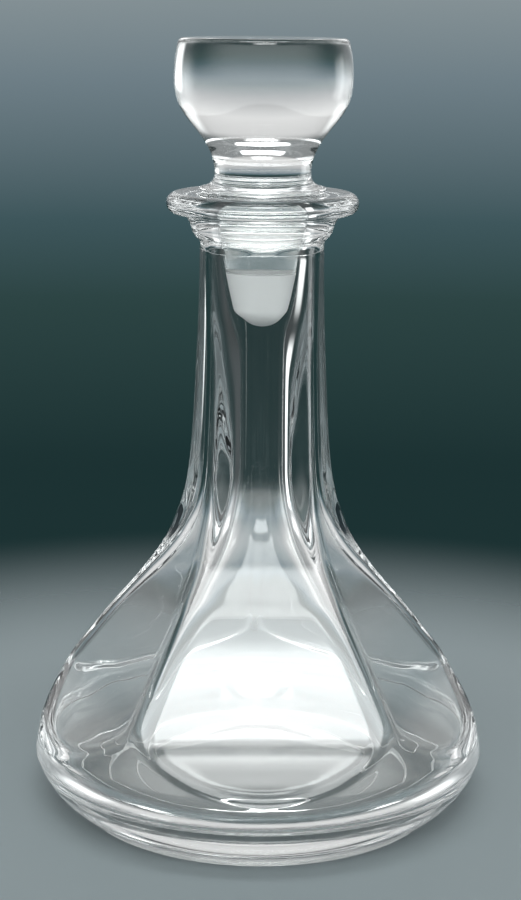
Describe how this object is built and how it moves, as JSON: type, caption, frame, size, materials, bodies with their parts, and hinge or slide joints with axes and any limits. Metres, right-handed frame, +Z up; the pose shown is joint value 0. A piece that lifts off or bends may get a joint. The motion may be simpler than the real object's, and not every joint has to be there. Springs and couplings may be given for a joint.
{
  "type": "decanter",
  "caption": "Clear glass decanter with a broad low body pressed into flat panels, a long neck with a turned-out lip, and a lift-out solid stopper with a flat-topped bowl head.",
  "frame": {"origin": "centre of the foot, on the surface the decanter stands on", "axes": "+Z up along the neck's axis, and the middle of one of the five panels faces -Y"},
  "size_m": [0.1488, 0.1492, 0.25],
  "materials": {
    "vessel_glass": "clear, fire-polished",
    "stopper_glass": "clear, polished, solid"
  },
  "bodies": {
    "vessel": {"vessel": "vessel_glass"},
    "stopper": {"stopper": "stopper_glass"}
  },
  "joints": [
    {"name": "stopper_lift", "type": "slide", "parent": "vessel", "child": "stopper", "axis": [0, 0, 1], "range_m": [0, 0.06]}
  ]
}
